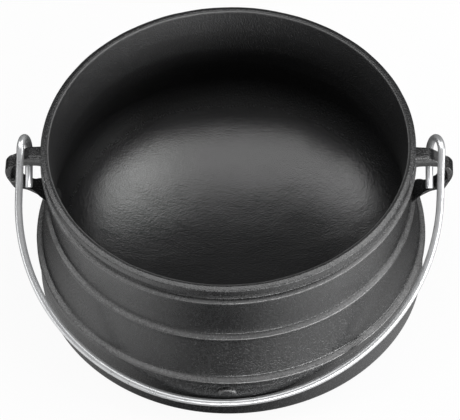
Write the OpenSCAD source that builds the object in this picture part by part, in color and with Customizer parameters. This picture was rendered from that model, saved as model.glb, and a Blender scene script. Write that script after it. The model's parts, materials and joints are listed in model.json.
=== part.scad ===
// Cast iron pot with two strap ears and a wire bail handle.
// Millimetres, +Z up. The origin is the centre of the underside, on the surface
// that the pot stands on. The bail hangs down at the front, which is -Y.

/* [Pot casting] */
// Height from the standing surface to the top of the rim
pot_h = 125.5; // [110:0.5:151]
// Outer radius of the rim band
rim_r = 124; // [103:0.5:149]
// Radial width of the flat top of the rim
rim_w = 5; // [4:0.5:7]
// Height of the plain band round the rim
rim_band_h = 6; // [4:0.5:9]
// Wall thickness below the rim
wall = 5; // [4:0.5:7]
// How far the straight skirt below the lowest rib stands out past the rim band
skirt_flare = 7; // [4:0.5:12]
// Height of the skirt, up to the lower edge of the lowest rib
skirt_h = 31; // [26:0.5:38]
// Thickness of the skirt at its foot
skirt_t = 7; // [5:0.5:9]
// Rounding of the outer foot edge
foot_round = 4; // [2:0.5:4.5]

/* [Bowl] */
// Height at which the side wall turns into the bowl
bowl_top = 50.5; // [46:0.5:60]
// Thickness of the floor at its centre
floor_t = 6.5; // [5:0.5:9]
// Thickness of the bowl where it leaves the side wall
bowl_t = 6; // [5:0.5:8]

/* [Ribs] */
// Depth of the bead's centre below the rim, upper rib
upper_rib_drop = 12.5; // [11:0.5:14]
// Bead radius, upper rib
upper_rib_r = 3.4; // [2.5:0.1:4]
// Depth of the bead's centre below the rim, middle rib
middle_rib_drop = 51; // [48:0.5:56]
// Bead radius, middle rib
middle_rib_r = 4.5; // [3:0.1:5.5]
// Bead radius, lower rib
lower_rib_r = 5.4; // [4:0.1:6]
// How far the lower rib stands out past the skirt
lower_rib_proud = 1.2; // [0.5:0.1:2.5]

/* [Ears] */
// Width of the ear strap, front to back
ear_w = 10.2; // [8:0.1:13]
// Depth of the top of the ear's upper arm below the rim
ear_drop = 9; // [7:0.5:12]
// Height of the ear's upper arm, which the bail hooks round
arm_t = 9.5; // [8:0.1:10.5]
// Radius that the upper arm's corners are rounded to, about its own centre line
arm_round_r = 5.9; // [5:0.1:6.5]
// Thickness of the ear's outer nose
nose_t = 4.5; // [4:0.1:6]
// Outer radius of the nose
nose_r = 18.5; // [16:0.1:21]
// Depth of the nose circle's top below the top of the upper arm
nose_drop = 1; // [0.3:0.1:3]
// Radius of the window's outer end
window_r = 11.6; // [10:0.1:13]
// Depth of that end's centre below the hinge axis
window_drop = 11.3; // [10:0.1:12.5]
// Slope of the lower arm
lower_arm_slope = 38; // [35:1:42]
// Thickness of the lower arm
lower_arm_t = 9.2; // [7:0.1:10]
// How far the lower arm's outer face is set in from the nose circle
lower_arm_inset = 1.1; // [0.5:0.1:2]

/* [Bail] */
// Wire diameter
wire_d = 5; // [4:0.1:6]
// Gap between the wire and the widest part of the pot, at the sides
bail_side_gap = 5; // [3:0.5:9]
// How much smaller the radius of the arch's two shoulders is than half its width
shoulder_inset = 8.7; // [4:0.1:14]
// Angle through which each shoulder turns
shoulder_turn = 43; // [35:1:50]
// Gap between the resting bail and the skirt
rest_gap = 0.3; // [0.2:0.1:1]
// Height at which the bail rests against the skirt
rest_h = 18.5; // [12:0.5:24]
// Clearance between the hook's wire and the rounded arm
hook_clearance = 0.3; // [0.25:0.05:0.6]
// Sideways offset of the hook's tail from the leg
hook_splay = 6.1; // [5:0.1:8]
// How far the hook's bend sits behind the arm's centre line
hook_back = 3.3; // [0:0.1:5]
// Length of the hook's tail in front of the arm's centre line
tail_l = 20.5; // [14:0.5:24]
// Gap between the bail's wire and the inside of the nose
nose_clearance = 2.4; // [1.5:0.1:3]

/* [Casting mark] */
// Outer width of the raised arch at the front of the skirt
mark_w = 13.6; // [8:0.2:18]
// Bead radius of the arch
mark_bead_r = 1.5; // [1:0.1:2]
// How far the arch stands out of the skirt
mark_proud = 1.1; // [0.5:0.1:1.5]

/* [Hidden] */
$fn = 96;
wire_fn = 24;
join_l = 0.4;
join_step = 0.02;
IRON = [0.13, 0.13, 0.14];
STEEL = [0.78, 0.79, 0.8];
TINY = 0.01;

// Side wall: the band, a groove under it, a slight waist, then a flare to the lowest rib
rim_edge = 1;
rim_chamfer = 0.6;
groove_depth = 2.1;
groove_h = 2;
groove_edge = 0.5;
neck_inset = 2.4;
waist_inset = 3.4;
hip_inset = 3.1;
flare_inset = 1.3;

// Skirt: a slight draft above its middle, and the seat where the body and the foot ring meet
skirt_r = rim_r + skirt_flare;
seat_inset = 1;
seat_drop = 1.5;
skirt_draft = 0.6;
draft_drop = 9;
rib_sink = 0.4;

// Where the upper arm starts to bend down, past the near side of the tail
arm_bend = 0.9;

waist_z = (pot_h - upper_rib_drop + pot_h - middle_rib_drop) / 2;
groove_z = pot_h - rim_band_h;

upper_rib_z = pot_h - upper_rib_drop;
middle_rib_z = pot_h - middle_rib_drop;
lower_rib_z = skirt_h + lower_rib_r - rib_sink;
upper_rib_crest = rim_r + 0.8;
middle_rib_crest = rim_r + 0.6;
lower_rib_crest = skirt_r + lower_rib_proud;
lower_rib_c = lower_rib_crest - lower_rib_r;
widest_r = max(upper_rib_crest, middle_rib_crest, lower_rib_crest);

// Ears and bail share the upper arm's centre line, which is the hinge axis
axis_z = pot_h - ear_drop - arm_t / 2;
wire_r = wire_d / 2;
hook_r = arm_round_r + hook_clearance + wire_r;
leg_x = widest_r + bail_side_gap + wire_r;
tail_x = leg_x - hook_splay;
window_x = leg_x + wire_r + nose_clearance;
nose_x = window_x + nose_t;
arm_top = axis_z + arm_t / 2;
arm_bottom = axis_z - arm_t / 2;
nose_c = [nose_x - nose_r, arm_top - nose_drop - nose_r];
window_c = [window_x - window_r, axis_z - window_drop];

// The bail's arch is a crown between two tighter shoulders. Its top rests against the skirt at the
// front, and swings over to rest against it at the back.
rest_y = skirt_r + rest_gap + wire_r;
reach = sqrt(rest_y * rest_y + pow(axis_z - rest_h, 2));
leg_plane = sqrt(reach * reach - hook_r * hook_r);
shoulder_r = leg_x - shoulder_inset;
crown_r = shoulder_r + shoulder_inset / cos(shoulder_turn);
arc_start = leg_plane - crown_r + (crown_r - shoulder_r) * sin(shoulder_turn);
bail_drop = atan((axis_z - rest_h) / rest_y) + asin(hook_r / reach);
back_dip = atan((axis_z - rest_h) / rest_y) - asin(hook_r / reach);

// The window's floor steps up beside the tail, and stays just under the leg when the bail rests
// at the back
sill_x = tail_x + wire_r + hook_clearance;
sill_z = axis_z - ear_w / 2 * tan(back_dip) - (hook_r + wire_r) / cos(back_dip) - hook_clearance;
arm_bend_x = tail_x - wire_r + arm_bend;

// How far the bowl's outer curve would dip below the standing surface, which makes the flat pad
pad_flat = 2;
bowl_steps = 28;
curve_steps = 14;

// Points on an ellipse about [cx, cz], from angle a0 to a1
function ellipse(cx, cz, rx, rz, a0, a1, n) =
    [for (i = [0:n]) let (a = a0 + (a1 - a0) * i / n) [cx + rx * cos(a), cz + rz * sin(a)]];

// Points on the shallow curve that runs from p to r and passes through q halfway down
function sweep(p, q, r, n) =
    [for (i = [1:n - 1]) let (t = i / n, m = 2 * q - (p + r) / 2)
        p * pow(1 - t, 2) + m * 2 * t * (1 - t) + r * pow(t, 2)];

neck_p = [rim_r - neck_inset, upper_rib_z - upper_rib_r];
waist_p = [rim_r - waist_inset, waist_z];
hip_p = [rim_r - hip_inset, middle_rib_z + middle_rib_r];
flare_top = [rim_r - flare_inset, middle_rib_z - middle_rib_r + rib_sink];
flare_end = [lower_rib_c + rib_sink, lower_rib_z + lower_rib_r - rib_sink / 2];
bowl_r = inner_at_bowl();

// Radius of the inside wall at the height where the bowl starts
function inner_at_bowl() =
    let (t = (flare_top[1] - bowl_top) / (flare_top[1] - flare_end[1]))
    flare_top[0] + (flare_end[0] - flare_top[0]) * t - wall;

// Outside of the casting above the skirt, as a half section
module outer_section() {
    polygon(concat(
        [[0, skirt_h], [skirt_r - seat_inset, skirt_h]],
        [[skirt_r - seat_inset, lower_rib_z - lower_rib_r / 2], [lower_rib_c, lower_rib_z]],
        [flare_end, flare_top, [flare_top[0], middle_rib_z], [hip_p[0], middle_rib_z], hip_p],
        sweep(hip_p, waist_p, neck_p, curve_steps),
        [neck_p, [rim_r - groove_depth, groove_z - groove_h]],
        [[rim_r - groove_depth, groove_z], [rim_r - groove_edge, groove_z], [rim_r, groove_z + groove_edge]],
        ellipse(rim_r - rim_edge, pot_h - rim_edge, rim_edge, rim_edge, 0, 75, 4),
        [[rim_r - rim_edge, pot_h], [0, pot_h]]
    ));
    translate([upper_rib_crest - upper_rib_r, upper_rib_z]) circle(upper_rib_r);
    translate([middle_rib_crest - middle_rib_r, middle_rib_z]) circle(middle_rib_r);
    intersection() {
        translate([lower_rib_c, lower_rib_z]) circle(lower_rib_r);
        translate([0, skirt_h]) square([widest_r + 1, lower_rib_r * 2]);
    }
}

// Outside of the bowl that hangs inside the skirt, as a half section
module bowl_section() {
    depth = bowl_top + pad_flat;
    intersection() {
        polygon(concat(ellipse(0, bowl_top, bowl_r + bowl_t, depth, -90, 0, bowl_steps), [[0, bowl_top]]));
        square([widest_r, bowl_top]);
    }
}

// The space inside the pot, as a half section
module inside_section() {
    rim_in = rim_r - rim_w;
    polygon(concat(
        [[-1, floor_t]],
        ellipse(0, bowl_top, bowl_r, bowl_top - floor_t, -90, 0, bowl_steps),
        [flare_top - [wall, 0], hip_p - [wall, 0]],
        sweep(hip_p - [wall, 0], waist_p - [wall, 0], neck_p - [wall, 0], curve_steps),
        [neck_p - [wall, 0]],
        [[rim_in, pot_h - rim_chamfer], [rim_in + rim_chamfer, pot_h]],
        [[rim_in + rim_chamfer, pot_h + 1], [-1, pot_h + 1]]
    ));
}

module pot_body() {
    color(IRON) rotate_extrude() difference() {
        union() {
            outer_section();
            bowl_section();
        }
        inside_section();
    }
}

// The skirt that the pot stands on, cast in one with the body and meeting it under the lowest rib
module foot_ring() {
    color(IRON) union() {
        rotate_extrude() polygon(concat(
            [[skirt_r - skirt_t, 0]],
            ellipse(skirt_r - foot_round, foot_round, foot_round, foot_round, -90, 0, 8),
            [[skirt_r, skirt_h - draft_drop], [skirt_r - skirt_draft, skirt_h - seat_drop]],
            [[skirt_r - seat_inset, skirt_h], [skirt_r - skirt_t + seat_inset, skirt_h]]
        ));
        casting_mark();
    }
}

// A plain raised arch on the front of the skirt, above the resting bail
module casting_mark() {
    mark_r = mark_w / 2 - mark_bead_r;
    intersection() {
        translate([0, mark_bead_r - mark_proud - skirt_r, skirt_h - mark_r - mark_bead_r])
            rotate([90, 0, 0])
            rotate_extrude(angle = 180) translate([mark_r, 0]) circle(mark_bead_r);
        translate([-mark_w, -skirt_r - mark_bead_r, 0]) cube([mark_w * 2, mark_bead_r * 2, skirt_h]);
    }
}

// Outline of the right ear in the XZ plane: the upper arm bends down into the nose, and the lower arm
// runs from the nose back to the wall
module ear_outline() {
    root_x = rim_r - waist_inset - wall / 2;
    bend_p = [arm_bend_x, arm_top];
    lift = atan2(bend_p[1] - nose_c[1], bend_p[0] - nose_c[0]) - acos(nose_r / norm(bend_p - nose_c));
    touch = nose_c + nose_r * [cos(lift), sin(lift)];
    down = [-cos(lower_arm_slope), -sin(lower_arm_slope)];
    out = [sin(lower_arm_slope), -cos(lower_arm_slope)];
    outer = nose_c + out * (nose_r - lower_arm_inset);
    inner = outer - out * lower_arm_t;
    run = (nose_x - root_x) / cos(lower_arm_slope);
    difference() {
        union() {
            intersection() {
                translate(nose_c) circle(nose_r);
                translate([root_x, 0]) square([nose_x, arm_top]);
                polygon([
                    outer + down * run, outer - down * run,
                    outer - down * run - out * run * 2, outer + down * run - out * run * 2
                ]);
            }
            polygon([[root_x, arm_bottom], [touch[0], arm_bottom], touch, bend_p, [root_x, arm_top]]);
            polygon([inner, inner + down * run, outer + down * run, outer]);
        }
        difference() {
            intersection() {
                union() {
                    translate(window_c) circle(window_r);
                    translate([0, window_c[1] - window_r * 2]) square([window_c[0], window_r * 4]);
                }
                square([nose_x, arm_bottom]);
                polygon([
                    inner + down * run, inner - down * run,
                    inner - down * run - out * run * 2, inner + down * run - out * run * 2
                ]);
            }
            translate([sill_x, 0]) square([nose_x, sill_z]);
        }
    }
}

// The ear as a plate, its upper arm rounded about the hinge axis as far as the hook reaches
module ear_blank() {
    round_end = window_c[0] + sqrt(pow(window_r, 2) - pow(arm_bottom - window_c[1], 2));
    difference() {
        translate([0, ear_w / 2, 0]) rotate([90, 0, 0]) linear_extrude(ear_w) ear_outline();
        difference() {
            union() {
                translate([0, -ear_w, axis_z]) cube([nose_x + 1, ear_w * 2, arm_t]);
                translate([0, -ear_w, arm_bottom - TINY]) cube([round_end, ear_w * 2, arm_t / 2]);
            }
            translate([0, 0, axis_z]) rotate([0, 90, 0]) cylinder(r = arm_round_r, h = nose_x + 2);
        }
    }
}

module right_ear() {
    color(IRON) difference() {
        ear_blank();
        rotate_extrude() outer_section();
    }
}

module left_ear() {
    color(IRON) mirror([1, 0, 0]) right_ear();
}

// A bend of wire about the Z axis, from angle a0 to a1. It is a hair thinner than what it joins, and
// runs a little way into it at both ends, so that they join as one solid.
module bend(r, a0, a1, slim = join_step) {
    extra = atan(join_l / r);
    rotate([0, 0, a0 - extra]) rotate_extrude(angle = a1 - a0 + 2 * extra)
        translate([r, 0]) circle(wire_r - slim, $fn = wire_fn);
}

// A straight of wire from y = from_y towards -Y
module straight(from_y, length) {
    translate([0, from_y, 0]) rotate([90, 0, 0]) cylinder(r = wire_r, h = length, $fn = wire_fn);
}

// One shoulder, leg and hook of the bail, in the bail's own plane, where -Y runs towards the top of
// the arch
module hook() {
    bend_r = sqrt(pow(hook_r, 2) + pow(hook_splay / 2, 2));
    bend_tilt = atan(hook_r / (hook_splay / 2));
    translate([shoulder_inset, -arc_start, hook_r]) bend(shoulder_r, -shoulder_turn, 0);
    translate([leg_x, 0, hook_r]) straight(hook_back, hook_back + arc_start);
    translate([leg_x - hook_splay / 2, hook_back, 0]) rotate([0, -bend_tilt, 0]) bend(bend_r, 0, 180);
    translate([tail_x, 0, -hook_r]) straight(hook_back, hook_back + tail_l);
}

module bail() {
    color(STEEL) translate([0, 0, axis_z]) rotate([bail_drop, 0, 0]) union() {
        translate([0, crown_r - leg_plane, hook_r])
            bend(crown_r, shoulder_turn - 180, -shoulder_turn, join_step * 2);
        hook();
        mirror([1, 0, 0]) hook();
    }
}

pot_body();
foot_ring();
left_ear();
right_ear();
bail();
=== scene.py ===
# %% [markdown]
# A squat cast iron pot with a wire bail handle. The pot is one iron casting: a rim band, three raised
# ribs, a flared belly on a straight skirt, a bowl inside, and two strap ears. The bail is one bent steel
# wire, hooked through the ears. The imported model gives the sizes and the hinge, and each piece made here
# stands for its nodes.

# %% Load the frame
import json
import math
import bpy
from mathutils import Matrix, Vector


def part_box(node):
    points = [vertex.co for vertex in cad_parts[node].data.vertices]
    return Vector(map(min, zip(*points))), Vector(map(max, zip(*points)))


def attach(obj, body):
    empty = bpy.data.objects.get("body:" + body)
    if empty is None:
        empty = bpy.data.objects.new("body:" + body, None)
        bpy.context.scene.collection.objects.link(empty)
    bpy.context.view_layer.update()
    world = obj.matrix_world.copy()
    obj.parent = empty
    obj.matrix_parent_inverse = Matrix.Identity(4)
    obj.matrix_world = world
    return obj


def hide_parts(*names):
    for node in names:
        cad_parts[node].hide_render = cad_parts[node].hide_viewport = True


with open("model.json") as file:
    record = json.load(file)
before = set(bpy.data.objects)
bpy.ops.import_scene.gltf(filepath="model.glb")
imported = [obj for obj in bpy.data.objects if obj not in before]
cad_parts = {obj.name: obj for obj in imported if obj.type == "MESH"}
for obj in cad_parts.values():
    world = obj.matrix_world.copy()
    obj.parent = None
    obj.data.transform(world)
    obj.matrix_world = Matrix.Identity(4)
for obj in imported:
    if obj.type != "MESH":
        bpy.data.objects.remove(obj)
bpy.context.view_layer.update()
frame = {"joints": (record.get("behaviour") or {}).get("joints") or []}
POT_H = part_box("pot_body")[1].z
hinge = frame["joints"][0]
AXIS_Z = hinge["pos_m"][2]
print("pot height", round(POT_H, 4), "hinge height", round(AXIS_Z, 4))

# %% [markdown]
# The real object was measured in millimetres, and Blender works in metres, so one helper turns the
# sizes. All heights on the pot are counted down from the rim, because the rim is its sharpest line.

# %% Units
MM = 0.001


def at(r, drop):
    """A point of the pot's half section: radius and depth below the rim, both in millimetres."""
    return Vector((r * MM, 0, POT_H - drop * MM))


# %% [markdown]
# The camera looks down at the pot from the front with a long lens, as the photograph does. It stands
# 2.2 m from the rim's centre, and is turned a little about its own line of sight.

# %% Camera
CAMERA_DISTANCE = 2.2
CAMERA_AZIMUTH = math.radians(2.5)
CAMERA_ELEVATION = math.radians(49.15)
CAMERA_ROLL = math.radians(1.78)
LENS_MM = 260.8
RIM_CENTRE_RIGHT = -1.92 / 460
RIM_CENTRE_UP = 66.95 / 460


def aim_camera():
    cam = bpy.data.objects.new("camera", bpy.data.cameras.new("camera"))
    bpy.context.scene.collection.objects.link(cam)
    bpy.context.scene.camera = cam
    cam.data.lens = LENS_MM
    a, e = CAMERA_AZIMUTH, CAMERA_ELEVATION
    back = Vector((math.sin(a) * math.cos(e), -math.cos(a) * math.cos(e), math.sin(e)))
    right = Vector((math.cos(a), math.sin(a), 0))
    up = back.cross(right)
    across = math.cos(CAMERA_ROLL) * right - math.sin(CAMERA_ROLL) * up
    upward = math.sin(CAMERA_ROLL) * right + math.cos(CAMERA_ROLL) * up
    view_width = cam.data.sensor_width / cam.data.lens
    back = (back + view_width * (RIM_CENTRE_RIGHT * across + RIM_CENTRE_UP * upward)).normalized()
    across = (across - across.dot(back) * back).normalized()
    upward = back.cross(across)
    eye = Vector((0, 0, POT_H)) + CAMERA_DISTANCE * Vector(
        (math.sin(a) * math.cos(e), -math.cos(a) * math.cos(e), math.sin(e)))
    cam.matrix_world = Matrix((
        (across.x, upward.x, back.x, eye.x),
        (across.y, upward.y, back.y, eye.y),
        (across.z, upward.z, back.z, eye.z),
        (0, 0, 0, 1)))
    return cam


camera = aim_camera()
print("camera at", [round(v, 3) for v in camera.location])

# %% [markdown]
# Small tools for modelling by hand: clear the selection, select one object, and finish a mesh so that
# its faces point outwards and its seams are closed.

# %% Modelling helpers


def select_only(obj=None):
    bpy.ops.object.select_all(action="DESELECT")
    if obj is not None:
        obj.select_set(True)
        bpy.context.view_layer.objects.active = obj


def edit(obj):
    select_only(obj)
    bpy.ops.object.mode_set(mode="EDIT")


def leave_edit():
    bpy.ops.object.mode_set(mode="OBJECT")


def grow(step, turn=0.0, about=(0, 0, 0), scale=(1, 1, 1)):
    """Extrudes what is selected by step, then turns it about Y and scales it, both about a point."""
    bpy.ops.mesh.extrude_region_move(TRANSFORM_OT_translate={"value": step})
    if turn:
        bpy.ops.transform.rotate(value=turn, orient_axis="Y", center_override=about)
    if tuple(scale) != (1, 1, 1):
        bpy.ops.transform.resize(value=scale, center_override=about)


def close_seams(obj, gap=0.00001):
    edit(obj)
    bpy.ops.mesh.select_all(action="SELECT")
    bpy.ops.mesh.remove_doubles(threshold=gap)
    bpy.ops.mesh.normals_make_consistent(inside=False)
    leave_edit()


def apply_modifiers(obj):
    select_only(obj)
    for m in list(obj.modifiers):
        bpy.ops.object.modifier_apply(modifier=m.name)


def smooth(obj, degrees=40):
    select_only(obj)
    bpy.ops.object.shade_smooth_by_angle(angle=math.radians(degrees))


def rounded(corners, steps=5):
    """An outline of (radius, drop, rounding) corners as points, with an arc at each rounded corner."""
    flat = [Vector((c[0], c[1])) for c in corners]
    points = []
    for i, (r, drop, rounding) in enumerate(corners):
        here = flat[i]
        if not rounding or i in (0, len(corners) - 1):
            points.append(here)
            continue
        to_last = (flat[i - 1] - here).normalized()
        to_next = (flat[i + 1] - here).normalized()
        half = to_last.angle(to_next) / 2
        start, end = to_last * rounding / math.tan(half), to_next * rounding / math.tan(half)
        centre = here + (to_last + to_next).normalized() * rounding / math.sin(half)
        sweep = (here + start - centre).angle_signed(here + end - centre)
        for k in range(steps + 1):
            points.append(centre + Matrix.Rotation(-sweep * k / steps, 2) @ (here + start - centre))
    return points


# %% [markdown]
# The pot's body is a turned shape, so its half section is drawn once and spun round the centre line.
# The section goes from the middle of the underside, out under the bowl, down the skirt's inside, up
# over the ribs to the rim, and down the inside to the middle of the bowl.

# %% Outline of the casting
SKIRT_R = 131.0
RIM_R = 124.0
BASE_DROP = POT_H / MM
FLOOR_DROP = BASE_DROP - 6.5
BOWL_DROP = 70.0
BOWL_R = 120.8
UNDER_DROP = 75.0

UNDERSIDE = [(0, BASE_DROP, 0), (35, BASE_DROP, 3)]
FOOT = [
    (118.5, BASE_DROP - 31, 5), (124.6, BASE_DROP - 30.5, 3), (124.2, BASE_DROP, 1.5),
    (SKIRT_R, BASE_DROP, 4), (SKIRT_R, 103, 6),
]
LOWER_RIB = [(130.4, 96, 1.2), (130, 94.6, 0.8), (132.2, 91.6, 1.4), (132.15, 87.6, 1.5), (128, 85.85, 1.2)]
MIDDLE_RIB = [(122.8, 56.4, 1.2), (122.9, 55, 0.7), (124.6, 53.2, 1), (124.6, 50.8, 1.4), (120.85, 49.2, 0.7)]
UPPER_RIB = [
    (120.4, 38, 30), (121.4, 18.4, 1.2), (122.4, 17, 0.8), (124.7, 14.8, 0.8), (124.7, 13, 0.9),
    (121.6, 11.7, 0.5),
]
RIM_BAND = [(121.6, 7.2, 0.7), (RIM_R, 6, 0.8), (RIM_R, 1.2, 0.7), (120.9, 0, 1.4)]
INSIDE = [
    (118.9, 0.5, 0.3), (118.6, 1.6, 0.5), (116.8, 17, 12), (115.6, 34, 20), (116.2, 48, 20), (118.6, 60, 20),
]


def outside():
    """The outside from the skirt's foot to the rim. Each rib ends in a sloping ledge and a small hollow."""
    return FOOT + LOWER_RIB + MIDDLE_RIB + UPPER_RIB + RIM_BAND


def bowl_arc(steps=26):
    """The inside of the bowl, from its edge to its middle."""
    depth = FLOOR_DROP - BOWL_DROP
    return [Vector((BOWL_R * math.cos(a), BOWL_DROP + depth * math.sin(a)))
            for a in (math.pi / 2 * (i / steps) for i in range(steps + 1))]


def under_arc(steps=14):
    """The outside of the bowl, from the central pad out to the skirt."""
    r, depth = BOWL_R + 6, BASE_DROP - UNDER_DROP + 2
    first, last = math.acos(38 / r), math.acos(117.5 / r)
    return [Vector((r * math.cos(a), UNDER_DROP + depth * math.sin(a)))
            for a in (first + (last - first) * i / steps for i in range(steps + 1))]


def half_section():
    under = under_arc()
    head = rounded([UNDERSIDE[0], UNDERSIDE[1], (under[0].x, under[0].y, 0)])
    rest = rounded([(under[-1].x, under[-1].y, 0)] + outside() + INSIDE + [(BOWL_R, BOWL_DROP, 0)])
    return head + under[1:-1] + rest[:-1] + bowl_arc()


section = half_section()
print("half section has", len(section), "points")

# %% [markdown]
# The outline starts as a single vertex at the middle of the underside, is drawn by extruding that
# vertex from point to point, and is spun all the way round.

# %% Spin the casting
SPIN_STEPS = 256


def spin_casting():
    bpy.ops.object.select_all(action="DESELECT")
    bpy.ops.mesh.primitive_plane_add(size=MM, location=at(*section[0]))
    pot = bpy.context.object
    pot.name = "pot_casting"
    bpy.ops.object.transform_apply(location=True, rotation=True, scale=True)
    edit(pot)
    bpy.ops.mesh.merge(type="CENTER")
    for last, here in zip(section, section[1:]):
        bpy.ops.mesh.extrude_region_move(TRANSFORM_OT_translate={"value": at(*here) - at(*last)})
    bpy.ops.mesh.select_all(action="SELECT")
    bpy.ops.mesh.spin(steps=SPIN_STEPS, angle=2 * math.pi, center=(0, 0, 0), axis=(0, 0, 1))
    leave_edit()
    close_seams(pot)
    smooth(pot, 50)
    return pot


pot = spin_casting()
print("casting has", len(pot.data.polygons), "faces")

# %% [markdown]
# No sand casting is quite true, and the eye sees that in the way light runs along the ribs. A texture of
# soft clouds pushes the surface in and out by a few tenths of a millimetre. The foot is left out, because
# it has to stand flat.

# %% Unevenness of the casting
FOOT_Z = 4.0
SWELL_MM = 26.0
SWELL_HEIGHT = 0.5


def uneven(piece):
    clouds = bpy.data.textures.new("casting_swell", "CLOUDS")
    clouds.noise_scale = SWELL_MM * MM
    above = piece.vertex_groups.new(name="above_foot")
    above.add([v.index for v in piece.data.vertices if v.co.z > FOOT_Z * MM], 1.0, "REPLACE")
    push = piece.modifiers.new("swell", "DISPLACE")
    push.texture, push.texture_coords, push.mid_level = clouds, "LOCAL", 0.5
    push.strength, push.vertex_group = SWELL_HEIGHT * MM, above.name
    apply_modifiers(piece)


uneven(pot)
print("casting after its swell", [round(v, 4) for v in pot.dimensions])

# %% [markdown]
# Each ear is a strap of iron. It leaves the wall level, bends down into a round nose and runs back to the
# wall at a slope, round an open window that holds the wire. The strap's outer and inner edges are two
# rails, given as pairs of points, because the window isn't the same shape as the outside: its floor has
# a level sill that the wire's leg rests over.

# %% Rails of the ear
STRAP_W = 10.2
STRAP_ROUNDING = 2.6
NOSE_FLARE = 2.4
AXIS_DROP = (POT_H - AXIS_Z) / MM
ARM_TOP = AXIS_DROP - 4.75
ARM_BOTTOM = AXIS_DROP + 4.75
NOSE_C, NOSE_R = Vector((130.6, 28.5)), 18.5
WINDOW_C, WINDOW_R = Vector((133.3, 25.05)), 11.6
LOWER_SLOPE = math.radians(38)
LOWER_T = 9.2
LOWER_INSET = 1.1
SILL_DROP = 30.4
ROOT_FLARE = ((119, 24, 4), (121, 22.5, 2.6), (121.6, 20.8, 1.6), (122.6, 19.5, 0.9), (124, 18.8, 0.3))
BEND = ((128, 0), (130, 0), (131.8, 0.1), (133.2, 0.4), (134.6, 0.95), (136, 1.7))
SILL = ((-5, 141.6, 0), (-3.4, 139.4, 0), (-1.8, 137.5, 0.1), (-0.9, 136.6, 0.9), (-0.3, 136.35, 2.6))
LOWER_ROOT = ((2, 0), (5, 0), (9, 0), (12, 0.3), (14, 0.9), (16, 1.7), (18, 2.7), (21, 3.8), (27, 5))


def on_circle(centre, radius, degrees):
    a = math.radians(degrees)
    return centre + Vector((math.cos(a), math.sin(a))) * radius


def arm_pairs():
    """(outer point, inner point, flare) from the wall to the start of the nose."""
    pairs = [(Vector((x, ARM_TOP)), Vector((x, bottom)), flare) for x, bottom, flare in ROOT_FLARE]
    return pairs + [(Vector((x, ARM_TOP + dip)), Vector((x - dip / 2, ARM_BOTTOM)), 0) for x, dip in BEND]


def nose_pairs(steps=7):
    """The nose: first along the arm's flat underside, then round the window's end."""
    top = [(on_circle(NOSE_C, NOSE_R, -67 + 33 * k / steps), Vector((136.2 + 6 * k / steps, ARM_BOTTOM)), 0)
           for k in range(steps + 1)]
    end = [(on_circle(NOSE_C, NOSE_R, -34 + 66 * k / steps),
            on_circle(WINDOW_C, WINDOW_R, -34 + 61.5 * k / steps), NOSE_FLARE * (k / steps) ** 1.5)
           for k in range(1, steps + 1)]
    return top + end


def lower_pairs():
    """The sill and the lower arm, as far as into the wall."""
    along = Vector((-math.cos(LOWER_SLOPE), math.sin(LOWER_SLOPE)))
    out = Vector((math.sin(LOWER_SLOPE), math.cos(LOWER_SLOPE)))
    start = NOSE_C + out * (NOSE_R - LOWER_INSET)
    sill = [(start + along * t, Vector((x, SILL_DROP + dip)), NOSE_FLARE * (1 - (t + 5) / 7)) for t, x, dip in SILL]
    return sill + [(start + along * t + out * flare, start + along * t - out * (LOWER_T + flare), flare)
                   for t, flare in LOWER_ROOT]


rails = arm_pairs() + nose_pairs() + lower_pairs()
print("ear rails have", len(rails), "pairs, the nose reaches", round(max(p[0].x for p in rails), 1), "mm")

# %% [markdown]
# The strap is drawn out as a smith would do it: one section with rounded corners starts inside the wall,
# and is pushed from pair to pair, turned and stretched to reach from rail to rail. One level of
# subdivision then takes the corners off the bends.

# %% Ear strap


def station(outer, inner, flare):
    """Middle, turn, thickness and width of the section between two rail points."""
    through = inner - outer
    middle = (outer + inner) / 2
    return at(*middle), math.atan2(-through.x, through.y), through.length, STRAP_W + 2 * flare


def draw_strap(name):
    middle, turn, thickness, width = station(*rails[0])
    bpy.ops.object.select_all(action="DESELECT")
    bpy.ops.mesh.primitive_plane_add(size=1, location=middle, rotation=(0, math.pi / 2, 0))
    ear = bpy.context.object
    ear.name = name
    ear.scale = (thickness * MM, width * MM, 1)
    bpy.ops.object.transform_apply(location=True, rotation=True, scale=True)
    edit(ear)
    bpy.ops.mesh.select_all(action="SELECT")
    bpy.ops.mesh.bevel(offset=STRAP_ROUNDING * MM, segments=5, affect="VERTICES")
    for pair in rails[1:]:
        here, new_turn, new_thickness, new_width = station(*pair)
        thin = new_thickness / thickness
        grow(here - middle, new_turn - turn, here, (thin, new_width / width, thin))
        middle, turn, thickness, width = here, new_turn, new_thickness, new_width
    leave_edit()
    close_seams(ear)
    soften = ear.modifiers.new("soften", "SUBSURF")
    soften.levels = soften.render_levels = 1
    apply_modifiers(ear)
    smooth(ear, 60)
    return ear


def other_side(piece, name):
    """A mirrored copy with its own mesh."""
    select_only(piece)
    bpy.ops.object.duplicate()
    twin = bpy.context.object
    twin.name = name
    edit(twin)
    bpy.ops.mesh.select_all(action="SELECT")
    bpy.ops.transform.mirror(constraint_axis=(True, False, False), center_override=(0, 0, 0))
    leave_edit()
    close_seams(twin)
    return twin


right_ear = draw_strap("right_ear_strap")
left_ear = other_side(right_ear, "left_ear_strap")

# %% [markdown]
# The only mark on the pot is a small raised arch on the front of the skirt. It is half a ring of round
# bead, sunk in the skirt for two thirds of its thickness, with its two ends rounded off.

# %% Arch on the skirt
MARK_R = 5.3
MARK_BEAD_R = 1.6
MARK_PROUD = 1.5
MARK_Z = 24.6
MARK_SQUASH = 0.88


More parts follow.
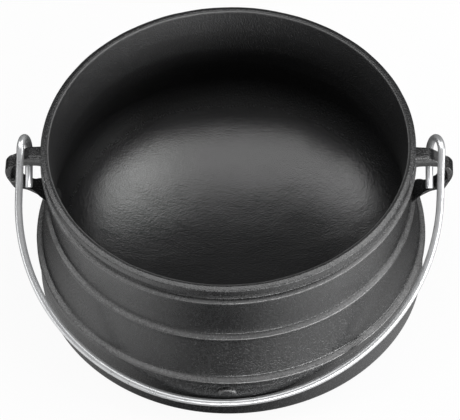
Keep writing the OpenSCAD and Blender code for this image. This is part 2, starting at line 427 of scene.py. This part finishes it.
def draw_mark():
    bpy.ops.object.select_all(action="DESELECT")
    front = Vector((0, -SKIRT_R + MARK_BEAD_R - MARK_PROUD, MARK_Z)) * MM
    bpy.ops.mesh.primitive_torus_add(location=front, rotation=(math.pi / 2, 0, 0), major_segments=48,
                                     minor_segments=20, major_radius=MARK_R * MM, minor_radius=MARK_BEAD_R * MM)
    mark = bpy.context.object
    mark.name = "skirt_arch"
    bpy.ops.object.transform_apply(location=True, rotation=True, scale=True)
    edit(mark)
    bpy.ops.mesh.select_all(action="SELECT")
    bpy.ops.mesh.bisect(plane_co=front, plane_no=(0, 0, 1), use_fill=True, clear_inner=True)
    bpy.ops.mesh.bevel(offset=MARK_BEAD_R * 0.45 * MM, segments=4)
    bpy.ops.mesh.select_all(action="SELECT")
    bpy.ops.transform.resize(value=(1, 1, MARK_SQUASH), center_override=front)
    leave_edit()
    close_seams(mark)
    smooth(mark, 50)
    return mark


mark = draw_mark()
print("arch is", [round(v / MM, 1) for v in mark.dimensions], "mm")

# %% [markdown]
# The bail is a single wire. Its middle line is drawn in its own plane: a crown between two tighter
# shoulders, two legs, and then each leg's hook, which goes round behind the ear's arm and back under it.
# It was bent by hand and leans a little to one side. The line becomes a round bar by giving it a
# thickness as a curve, and the curve becomes a mesh. The plane is then tipped down about the hinge, as
# far as the frame's own wire is.

# %% Bail line
WIRE_R = 2.5
HOOK_R = 8.7
HOOK_BACK = 3.3
TAIL_L = 20.5
TAIL_X = 133.3
LEG_X = 139.25
SHOULDER_INSET = 8.7
SHOULDER_TURN = math.radians(43)
LEAN_AT_HINGE = 1.6
LEAN_RATE = 0.03
END_BEVEL = 0.5
REST_Y = 133.8
REST_DROP = POT_H / MM - 18.5
REACH = math.hypot(REST_Y, REST_DROP - AXIS_DROP)
LEG_PLANE = math.sqrt(REACH ** 2 - HOOK_R ** 2)
SHOULDER_R = LEG_X - SHOULDER_INSET
CROWN_R = SHOULDER_R + SHOULDER_INSET / math.cos(SHOULDER_TURN)
CROWN_C = LEG_PLANE - CROWN_R
ARC_START = CROWN_C + (CROWN_R - SHOULDER_R) * math.sin(SHOULDER_TURN)
BAIL_TIP = math.atan2(REST_DROP - AXIS_DROP, REST_Y) + math.asin(HOOK_R / REACH)


def leaning(across, along):
    return (across + LEAN_AT_HINGE - LEAN_RATE * along, along, HOOK_R)


def hook_points(side, steps=20):
    """One hook, from the end of its tail to the start of its leg, as (across, along, above)."""
    leg, tail = leaning(side * LEG_X, 0)[0], side * TAIL_X
    middle, half_gap = (leg + tail) / 2, (leg - tail) / 2
    reach = math.hypot(half_gap, HOOK_R)
    points = [(tail, TAIL_L, -HOOK_R), (tail, TAIL_L - END_BEVEL, -HOOK_R)]
    for k in range(steps + 1):
        a = math.pi * (1 - k / steps)
        points.append((middle + half_gap * math.cos(a), -HOOK_BACK - reach * math.sin(a), HOOK_R * math.cos(a)))
    return points


def arch_points(steps=24):
    """The crown and both shoulders, from the left leg to the right one."""
    shoulder = [(SHOULDER_INSET + SHOULDER_R * math.cos(a), ARC_START + SHOULDER_R * math.sin(a))
                for a in (SHOULDER_TURN * k / steps for k in range(steps))]
    half_crown = [(CROWN_R * math.cos(a), CROWN_C + CROWN_R * math.sin(a))
                  for a in (SHOULDER_TURN + (math.pi / 2 - SHOULDER_TURN) * k / steps for k in range(steps))]
    half = shoulder + half_crown
    return [leaning(-x, y) for x, y in half] + [leaning(0, LEG_PLANE)] + [leaning(x, y) for x, y in half[::-1]]


def bail_points():
    return hook_points(-1) + arch_points() + hook_points(1)[::-1]


def in_pot(across, along, above):
    """A point of the bail's plane in the pot's frame."""
    c, s = math.cos(BAIL_TIP), math.sin(BAIL_TIP)
    return Vector((across, -along * c - above * s, -along * s + above * c)) * MM + Vector((0, 0, AXIS_Z))


def draw_bail():
    line = [in_pot(*q) for q in bail_points()]
    bpy.ops.object.select_all(action="DESELECT")
    bpy.ops.mesh.primitive_plane_add(size=MM, location=line[0])
    bail = bpy.context.object
    bail.name = "bail_wire"
    bpy.ops.object.transform_apply(location=True, rotation=True, scale=True)
    edit(bail)
    bpy.ops.mesh.merge(type="CENTER")
    for last, here in zip(line, line[1:]):
        bpy.ops.mesh.extrude_region_move(TRANSFORM_OT_translate={"value": here - last})
    leave_edit()
    bpy.ops.object.convert(target="CURVE")
    for end in (bail.data.splines[0].points[0], bail.data.splines[0].points[-1]):
        end.radius = 1 - END_BEVEL / WIRE_R
    bail.data.bevel_depth = WIRE_R * MM
    bail.data.bevel_resolution = 8
    bail.data.use_fill_caps = True
    bpy.ops.object.convert(target="MESH")
    close_seams(bpy.context.object)
    smooth(bpy.context.object, 50)
    return bpy.context.object


bail = draw_bail()

# %% [markdown]
# The materials are built from shader nodes. A small class lets the maths be written as Python sums.

# %% Shader helpers


class Sock:
    """A shader socket that can be added, multiplied and so on."""

    def __init__(self, nodes, socket):
        self.nodes, self.socket = nodes, socket

    def math(self, kind, *others, clamp=False):
        n = self.nodes.nodes.new("ShaderNodeMath")
        n.operation, n.use_clamp = kind, clamp
        for slot, value in zip(n.inputs, (self,) + others):
            feed(self.nodes, slot, value)
        return Sock(self.nodes, n.outputs[0])

    def __add__(self, other): return self.math("ADD", other)
    def __radd__(self, other): return self.math("ADD", other)
    def __mul__(self, other): return self.math("MULTIPLY", other)
    def __rmul__(self, other): return self.math("MULTIPLY", other)
    def __sub__(self, other): return self.math("SUBTRACT", other)
    def __rsub__(self, other): return (self * -1).math("ADD", other)
    def __abs__(self): return self.math("ABSOLUTE")

    def between(self, low, high):
        """0 at low, 1 at high and straight between them."""
        return self.node("ShaderNodeMapRange", {"interpolation_type": "SMOOTHSTEP"},
                         {"Value": self, "From Min": low, "From Max": high}, "Result")

    def node(self, kind, settings, inputs, output):
        return make_node(self.nodes, kind, settings, inputs, output)


def feed(tree, slot, value):
    if isinstance(value, Sock):
        tree.links.new(value.socket, slot)
    else:
        slot.default_value = value


def make_node(tree, kind, settings, inputs, output):
    n = tree.nodes.new(kind)
    for key, value in settings.items():
        setattr(n, key, value)
    for key, value in inputs.items():
        feed(tree, n.inputs[key], value)
    return Sock(tree, n.outputs[output])


def new_material(name):
    m = bpy.data.materials.new(name)
    m.use_nodes = True
    tree = m.node_tree
    shader = tree.nodes["Principled BSDF"]
    where = make_node(tree, "ShaderNodeTexCoord", {}, {}, "Object")
    return m, tree, shader, where


def noise(tree, where, size_mm, detail=2.0, rough=0.5):
    """Noise from 0 to 1 with lumps of about this size."""
    return make_node(tree, "ShaderNodeTexNoise", {},
                     {"Vector": where, "Scale": 1 / (size_mm * MM), "Detail": detail, "Roughness": rough}, "Fac")


def dots(tree, where, spacing_mm, radius_mm, edge_mm):
    """Round dots, 1 in the middle and 0 outside, scattered about this far apart."""
    far = make_node(tree, "ShaderNodeTexVoronoi", {"feature": "F1"},
                    {"Vector": where, "Scale": 1 / (spacing_mm * MM)}, "Distance") * spacing_mm
    return 1 - far.between(radius_mm - edge_mm, radius_mm + edge_mm)


def mixed(tree, factor, a, b):
    """One colour turning into another, each a grey level or a colour."""
    a, b = [c if isinstance(c, (tuple, Sock)) else (c, c, c, 1) for c in (a, b)]
    return make_node(tree, "ShaderNodeMix", {"data_type": "RGBA"}, {"Factor": factor, 6: a, 7: b}, 2)


# %% [markdown]
# Seasoned cast iron is nearly black, with a satin gloss. The sand of the mould leaves its grain all over.
# The core that shaped the inside was coarser, so the inside wall is rougher and has little raised beads
# where the iron ran into the sand, but the bottom of the bowl is worn smooth. The inside is told from the
# outside by the distance from the pot's centre line, which is less than that of the middle of the wall.
# A painted highlight is laid on the rim's inner edge, on the sloping ledges above the ribs and on the
# top of the arch on the skirt: there the colour is a lighter grey and the iron partly metallic.

# %% Cast iron
WALL_MIDDLE_R = 119.85
BOWL_FLARE = 0.053
BOWL_FLARE_Z = 78.0
# The band of painted highlight along the rim's inner edge is centred on this radius.
RIM_HIGHLIGHT_R = 119.1
WORN_BELOW_Z, ROUGH_ABOVE_Z = 28, 58
# The ledges above the ribs, as crest radius, drop and width, where a painted highlight goes.
LEDGES = ((132, 87.0, 3.2), (124.6, 50.2, 2.8), (124.7, 12.6, 1.8))


def split(tree, where):
    axes = tree.nodes.new("ShaderNodeSeparateXYZ")
    feed(tree, axes.inputs[0], where)
    return [Sock(tree, axis) * (1 / MM) for axis in axes.outputs]


def ledge_highlight(radius, z):
    """Painted highlight mask: 1 on the sloping ledge above each rib, 0 elsewhere."""
    level = [1 - abs(z - (POT_H / MM - drop)).between(0.7, 1.7) for crest, drop, wide in LEDGES]
    out = [(radius - (crest - wide)).between(-0.6, 1.4) for crest, drop, wide in LEDGES]
    return level[0] * out[0] + level[1] * out[1] + level[2] * out[2]


def cast_iron():
    m, tree, shader, where = new_material("cast_iron")
    x, y, z = split(tree, where)
    radius = (x * x + y * y).math("SQRT")
    wall = (BOWL_FLARE_Z - z).math("MAXIMUM", 0) * BOWL_FLARE + WALL_MIDDLE_R
    inside = (wall - radius).between(-0.5, 0.5)
    core_sand = inside * z.between(WORN_BELOW_Z, ROUGH_ABOVE_Z)
    sand, grit, lumps = noise(tree, where, 1.1, 2, 0.6), noise(tree, where, 2.6, 2), noise(tree, where, 11, 2)
    beads = dots(tree, where, 7, 0.5, 0.4) * core_sand
    height = (sand * 0.42 + grit * 0.12) * (1 - inside * 0.58 + core_sand * 1.0) + lumps * 0.1 + beads * 0.14
    bump = make_node(tree, "ShaderNodeBump", {}, {"Height": height, "Distance": MM, "Strength": 1.0}, "Normal")
    feed(tree, shader.inputs["Normal"], bump)
    patches = noise(tree, where, 30, 3)
    # Painted highlight: a thin band along the rim's inner edge, just under the top.
    rim_edge_highlight = (0.5 - abs(radius - RIM_HIGHLIGHT_R)).between(0, 0.4) * (z - (POT_H / MM - 1.6)).between(0, 0.4)
    tone = mixed(tree, patches, (0.006, 0.006, 0.0064, 1), (0.011, 0.0112, 0.0116, 1))
    tone = mixed(tree, sand.between(0.5, 0.66) * (0.4 - inside * 0.15), tone, (0.05, 0.052, 0.054, 1))
    # Painted highlight on the upper part of the arch on the skirt, so that it stands out from the skirt.
    arch = (radius - SKIRT_R).between(0.6, 1.6) * z.between(32.5, 31.5) * z.between(24, 28)
    # The painted highlight makes the base colour a lighter grey and the iron partly metallic.
    painted_highlight = rim_edge_highlight * 0.4 + ledge_highlight(radius, z) * (grit * 0.4 + 0.1) + arch * 0.25
    feed(tree, shader.inputs["Base Color"], mixed(tree, painted_highlight, tone, 0.3))
    feed(tree, shader.inputs["Roughness"], 0.2 + patches * 0.06 + sand * 0.08 - inside * 0.06 + core_sand * 0.26)
    feed(tree, shader.inputs["Metallic"], painted_highlight)
    feed(tree, shader.inputs["Coat Weight"], 0.6 - inside * 0.6)
    shader.inputs["Coat Roughness"].default_value = 0.25
    shader.inputs["IOR"].default_value = 1.7
    return m


# %% [markdown]
# The wire is steel drawn through a die and zinc plated. The plating is pale and partly matt, with a gloss
# over it that is slightly uneven where the plating is thin.

# %% Plated wire


def wire_steel():
    m, tree, shader, where = new_material("bail_wire")
    drawn, worn = noise(tree, where, 1.2, 2), noise(tree, where, 9, 2)
    feed(tree, shader.inputs["Base Color"], mixed(tree, worn, (0.7, 0.71, 0.72, 1), (0.88, 0.89, 0.9, 1)))
    shader.inputs["Metallic"].default_value = 0.72
    feed(tree, shader.inputs["Roughness"], 0.22 + worn * 0.1 + drawn * 0.04)
    bump = make_node(tree, "ShaderNodeBump", {}, {"Height": worn * 0.03, "Distance": MM, "Strength": 1.0}, "Normal")
    feed(tree, shader.inputs["Normal"], bump)
    return m


def dress(piece, material):
    piece.data.materials.clear()
    piece.data.materials.append(material)


iron, steel = cast_iron(), wire_steel()
for piece in (pot, right_ear, left_ear, mark):
    dress(piece, iron)
dress(bail, steel)

# %% [markdown]
# The floor is plain and white. Seen straight it is mostly a plain white light of strength 1, with a little
# of a pale floor that the pot's shadow falls on. What the pot reflects is bright at its sides and dim in
# front, as where a camera stands, and the floor lights the pot only as a pale floor would.

# %% White floor
FLOOR_GLOW = 0.93
FRONT_SHINE = 0.04
SIDE_SHINE = 0.78
FLOOR_COLOUR = 0.88


def white_floor():
    bpy.ops.object.select_all(action="DESELECT")
    bpy.ops.mesh.primitive_plane_add(size=30, location=(0, 0, -0.2 * MM))
    floor = bpy.context.object
    floor.name = "floor"
    m, tree, shader, where = new_material("floor")
    shader.inputs["Base Color"].default_value = (FLOOR_COLOUR, FLOOR_COLOUR, FLOOR_COLOUR, 1)
    shader.inputs["Roughness"].default_value = 1.0
    shader.inputs["Specular IOR Level"].default_value = 0.0
    path = tree.nodes.new("ShaderNodeLightPath")
    rays = [Sock(tree, path.outputs[kind]) for kind in ("Is Camera Ray", "Is Glossy Ray", "Is Transmission Ray")]
    seen = (rays[0] * FLOOR_GLOW + rays[1] + rays[2]).math("MINIMUM", 1.0)
    x, y, z = split(tree, where)
    sideways = abs(x + 15).between(5, 165) * y.between(60, -150)
    strength = rays[0].math("MAXIMUM", sideways * (SIDE_SHINE - FRONT_SHINE) + FRONT_SHINE)
    glow = make_node(tree, "ShaderNodeEmission", {}, {"Strength": strength}, "Emission")
    mix = tree.nodes.new("ShaderNodeMixShader")
    feed(tree, mix.inputs[0], seen)
    tree.links.new(shader.outputs[0], mix.inputs[1])
    tree.links.new(glow.socket, mix.inputs[2])
    tree.links.new(mix.outputs[0], tree.nodes["Material Output"].inputs["Surface"])
    dress(floor, m)


white_floor()

# %% [markdown]
# The pot is lit as for a shop picture: a large softbox overhead, one at each side, and three low strips
# that draw the ribs out of the dark wall, a bright one in front and one at each side. Each lamp is given
# by where it stands, seen from the pot, by how wide and tall it looks from there, and by its brightness,
# so its power follows.

# %% Sky and lamps
SKY = 0.12
LAMP_DISTANCE = 3.0
SOFTBOXES = (
    ("overhead", 90, 88, 66, 34, 2.0), ("right", 26, 54, 30, 26, 3.0), ("left", 157, 45, 24, 24, 2.4),
    ("front_strip", -60, 7, 70, 10, 15.0), ("right_strip", -15, 14, 40, 20, 6.0),
    ("left_strip", -157, 8, 44, 15, 2.0),
)


def plain_sky():
    world = bpy.data.worlds.new("sky")
    bpy.context.scene.world = world
    world.use_nodes = True
    world.node_tree.nodes["Background"].inputs["Color"].default_value = (1, 1, 1, 1)
    world.node_tree.nodes["Background"].inputs["Strength"].default_value = SKY


def softbox(name, azimuth, elevation, wide, tall, brightness):
    """A lamp as seen from the pot: angles in degrees, brightness as radiance."""
    a, e = math.radians(azimuth), math.radians(elevation)
    away = Vector((math.cos(a) * math.cos(e), math.sin(a) * math.cos(e), math.sin(e)))
    lamp = bpy.data.lights.new(name, "AREA")
    lamp.shape = "RECTANGLE"
    lamp.size, lamp.size_y = [2 * LAMP_DISTANCE * math.tan(math.radians(angle / 2)) for angle in (wide, tall)]
    lamp.energy = brightness * math.pi * lamp.size * lamp.size_y
    stand = bpy.data.objects.new(name, lamp)
    bpy.context.scene.collection.objects.link(stand)
    stand.location = Vector((0, 0, POT_H / 2)) + away * LAMP_DISTANCE
    stand.rotation_euler = away.to_track_quat("Z", "Y").to_euler()
    stand.visible_camera = False
    return lamp.energy * math.sin(e) / math.pi / LAMP_DISTANCE ** 2


plain_sky()
light = SKY * math.pi + sum(softbox(*box) for box in SOFTBOXES)
print("light on a level face", round(light, 2), "where a plain level is", round(math.pi, 2))
bpy.context.scene.view_settings.view_transform = "Standard"

# %% Attach the pieces and finish
for piece, body, node, slot in (
        (pot, "pot", ("pot_body", "foot_ring"), "cast_iron"), (right_ear, "pot", ("right_ear",), "cast_iron"),
        (left_ear, "pot", ("left_ear",), "cast_iron"), (mark, "pot", ("foot_ring",), "cast_iron"),
        (bail, "bail", ("bail",), "bail_wire")):
    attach(piece, body)
    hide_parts(*node)
